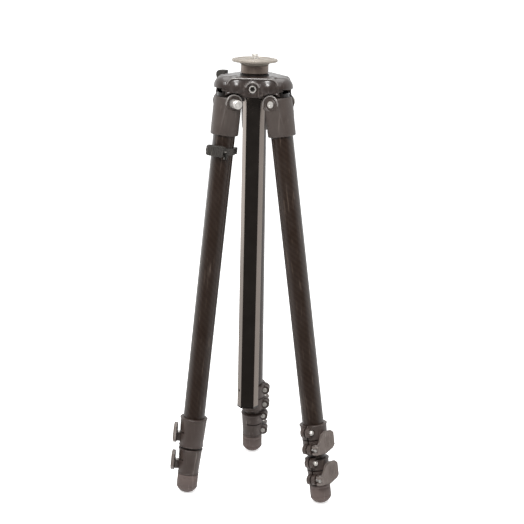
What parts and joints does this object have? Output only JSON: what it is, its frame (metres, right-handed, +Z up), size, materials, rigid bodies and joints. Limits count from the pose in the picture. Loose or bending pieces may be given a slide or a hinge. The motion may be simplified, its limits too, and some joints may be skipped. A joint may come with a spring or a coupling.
{
  "type": "tripod",
  "caption": "Camera tripod with three-section telescoping legs, flip-lever locks, domed rubber feet and a rising six-sided centre column with a screw-topped head plate.",
  "frame": {"origin": "the point on the floor under the centre column's axis", "axes": "+Z up along the centre column; -Y is the front, between the left and right legs; the rear leg points along +Y"},
  "size_m": [0.2313, 0.2332, 0.6006],
  "materials": {
    "shoulder_casting": "glossy black enamel on a die casting",
    "leg_casting": "satin black enamel on a die casting",
    "lock_collar": "satin black enamel on a die casting",
    "lever_metal": "satin dark grey enamel",
    "carbon_tube": "clear-coated carbon fibre, dark brown black",
    "bright_steel": "zinc-plated",
    "spring_steel": "blued",
    "bush_plastic": "moulded acetal",
    "foot_rubber": "moulded rubber",
    "knob_plastic": "moulded, soft to the touch",
    "neck_metal": "bronze-grey metallic",
    "plate_metal": "bead-blasted and clear anodised",
    "clip_plastic": "moulded, ribbed"
  },
  "bodies": {
    "shoulder": {"shoulder": "shoulder_casting", "column_bush": "bush_plastic", "front_bolt": "bright_steel"},
    "column": {"column_tube": "carbon_tube", "column_end_cap": "bush_plastic", "column_neck": "neck_metal", "top_plate": "plate_metal", "head_screw": "bright_steel", "plate_set_screws": "bright_steel"},
    "column_lock_knob": {"column_lock_knob": "knob_plastic"},
    "left_leg": {"left_socket": "leg_casting", "left_hinge_pin": "bright_steel", "left_button_spring": "spring_steel", "left_upper_tube": "carbon_tube", "left_upper_collar": "lock_collar", "left_upper_bolts": "bright_steel", "tool_clip": "clip_plastic"},
    "left_middle_section": {"left_middle_tube": "carbon_tube", "left_middle_bush": "bush_plastic", "left_lower_collar": "lock_collar", "left_lower_bolts": "bright_steel"},
    "left_lower_section": {"left_lower_tube": "carbon_tube", "left_lower_bush": "bush_plastic", "left_foot": "foot_rubber"},
    "left_upper_lever": {"left_upper_lever": "lever_metal"},
    "left_lower_lever": {"left_lower_lever": "lever_metal"},
    "left_release_button": {"left_release_button": "bright_steel"},
    "right_leg": {"right_socket": "leg_casting", "right_hinge_pin": "bright_steel", "right_button_spring": "spring_steel", "right_upper_tube": "carbon_tube", "right_upper_collar": "lock_collar", "right_upper_bolts": "bright_steel"},
    "right_middle_section": {"right_middle_tube": "carbon_tube", "right_middle_bush": "bush_plastic", "right_lower_collar": "lock_collar", "right_lower_bolts": "bright_steel"},
    "right_lower_section": {"right_lower_tube": "carbon_tube", "right_lower_bush": "bush_plastic", "right_foot": "foot_rubber"},
    "right_upper_lever": {"right_upper_lever": "lever_metal"},
    "right_lower_lever": {"right_lower_lever": "lever_metal"},
    "right_release_button": {"right_release_button": "bright_steel"},
    "rear_leg": {"rear_socket": "leg_casting", "rear_hinge_pin": "bright_steel", "rear_button_spring": "spring_steel", "rear_upper_tube": "carbon_tube", "rear_upper_collar": "lock_collar", "rear_upper_bolts": "bright_steel"},
    "rear_middle_section": {"rear_middle_tube": "carbon_tube", "rear_middle_bush": "bush_plastic", "rear_lower_collar": "lock_collar", "rear_lower_bolts": "bright_steel"},
    "rear_lower_section": {"rear_lower_tube": "carbon_tube", "rear_lower_bush": "bush_plastic", "rear_foot": "foot_rubber"},
    "rear_upper_lever": {"rear_upper_lever": "lever_metal"},
    "rear_lower_lever": {"rear_lower_lever": "lever_metal"},
    "rear_release_button": {"rear_release_button": "bright_steel"},
    "leg_tool": {"leg_tool": "spring_steel"}
  },
  "joints": [
    {"name": "column_slide", "type": "slide", "parent": "shoulder", "child": "column", "axis": [0, 0, 1], "range_m": [0, 0.32]},
    {"name": "column_lock_turn", "type": "hinge", "parent": "shoulder", "child": "column_lock_knob", "pos_m": [-0.03897, 0.0225, 0.5577], "axis": [-0.866, 0.5, 0], "range_deg": [0, 180]},
    {"name": "left_leg_swing", "type": "hinge", "parent": "shoulder", "child": "left_leg", "pos_m": [-0.03334, -0.01925, 0.5385], "axis": [-0.5, 0.866, 0], "range_deg": [-4.7, 74.3]},
    {"name": "left_middle_slide", "type": "slide", "parent": "left_leg", "child": "left_middle_section", "axis": [-0.086, -0.0497, -0.9951], "range_m": [0, 0.37]},
    {"name": "left_lower_slide", "type": "slide", "parent": "left_middle_section", "child": "left_lower_section", "axis": [-0.086, -0.0497, -0.9951], "range_m": [0, 0.37]},
    {"name": "left_upper_lever_flip", "type": "hinge", "parent": "left_leg", "child": "left_upper_lever", "pos_m": [-0.09289, -0.03285, 0.07652], "axis": [-0.086, -0.0497, -0.9951], "range_deg": [0, 110]},
    {"name": "left_lower_lever_flip", "type": "hinge", "parent": "left_middle_section", "child": "left_lower_lever", "pos_m": [-0.09515, -0.03669, 0.03771], "axis": [-0.086, -0.0497, -0.9951], "range_deg": [0, 110]},
    {"name": "left_button_press", "type": "slide", "parent": "left_leg", "child": "left_release_button", "axis": [-0.5, 0.866, 0], "range_m": [0, 0.0035], "stiffness_N_per_m": 1500, "springref_m": -0.003},
    {"name": "right_leg_swing", "type": "hinge", "parent": "shoulder", "child": "right_leg", "pos_m": [0.03334, -0.01925, 0.5385], "axis": [-0.5, -0.866, 0], "range_deg": [-8.1, 70.9]},
    {"name": "right_middle_slide", "type": "slide", "parent": "right_leg", "child": "right_middle_section", "axis": [0.137, -0.0791, -0.9874], "range_m": [-0.00406, 0.37]},
    {"name": "right_lower_slide", "type": "slide", "parent": "right_middle_section", "child": "right_lower_section", "axis": [0.137, -0.0791, -0.9874], "range_m": [0, 0.37]},
    {"name": "right_upper_lever_flip", "type": "hinge", "parent": "right_leg", "child": "right_upper_lever", "pos_m": [0.09853, -0.07767, 0.08079], "axis": [0.137, -0.0791, -0.9874], "range_deg": [0, 110]},
    {"name": "right_lower_lever_flip", "type": "hinge", "parent": "right_middle_section", "child": "right_lower_lever", "pos_m": [0.10553, -0.07917, 0.03827], "axis": [0.137, -0.0791, -0.9874], "range_deg": [0, 110]},
    {"name": "right_button_press", "type": "slide", "parent": "right_leg", "child": "right_release_button", "axis": [-0.5, -0.866, 0], "range_m": [0, 0.0035], "stiffness_N_per_m": 1500, "springref_m": -0.003},
    {"name": "rear_leg_swing", "type": "hinge", "parent": "shoulder", "child": "rear_leg", "pos_m": [0, 0.0385, 0.5385], "axis": [1, 0, 0], "range_deg": [-8.1, 70.9]},
    {"name": "rear_middle_slide", "type": "slide", "parent": "rear_leg", "child": "rear_middle_section", "axis": [0, 0.1582, -0.9874], "range_m": [-0.00406, 0.37]},
    {"name": "rear_lower_slide", "type": "slide", "parent": "rear_middle_section", "child": "rear_lower_section", "axis": [0, 0.1582, -0.9874], "range_m": [0, 0.37]},
    {"name": "rear_upper_lever_flip", "type": "hinge", "parent": "rear_leg", "child": "rear_upper_lever", "pos_m": [0.018, 0.12417, 0.08079], "axis": [0, 0.1582, -0.9874], "range_deg": [0, 110]},
    {"name": "rear_lower_lever_flip", "type": "hinge", "parent": "rear_middle_section", "child": "rear_lower_lever", "pos_m": [0.0158, 0.13098, 0.03827], "axis": [0, 0.1582, -0.9874], "range_deg": [0, 110]},
    {"name": "rear_button_press", "type": "slide", "parent": "rear_leg", "child": "rear_release_button", "axis": [1, 0, 0], "range_m": [0, 0.0035], "stiffness_N_per_m": 1500, "springref_m": -0.003},
    {"name": "leg_tool_slide", "type": "slide", "parent": "left_leg", "child": "leg_tool", "axis": [0.9179, -0.3922, -0.0598], "range_m": [0, 0.022]}
  ]
}
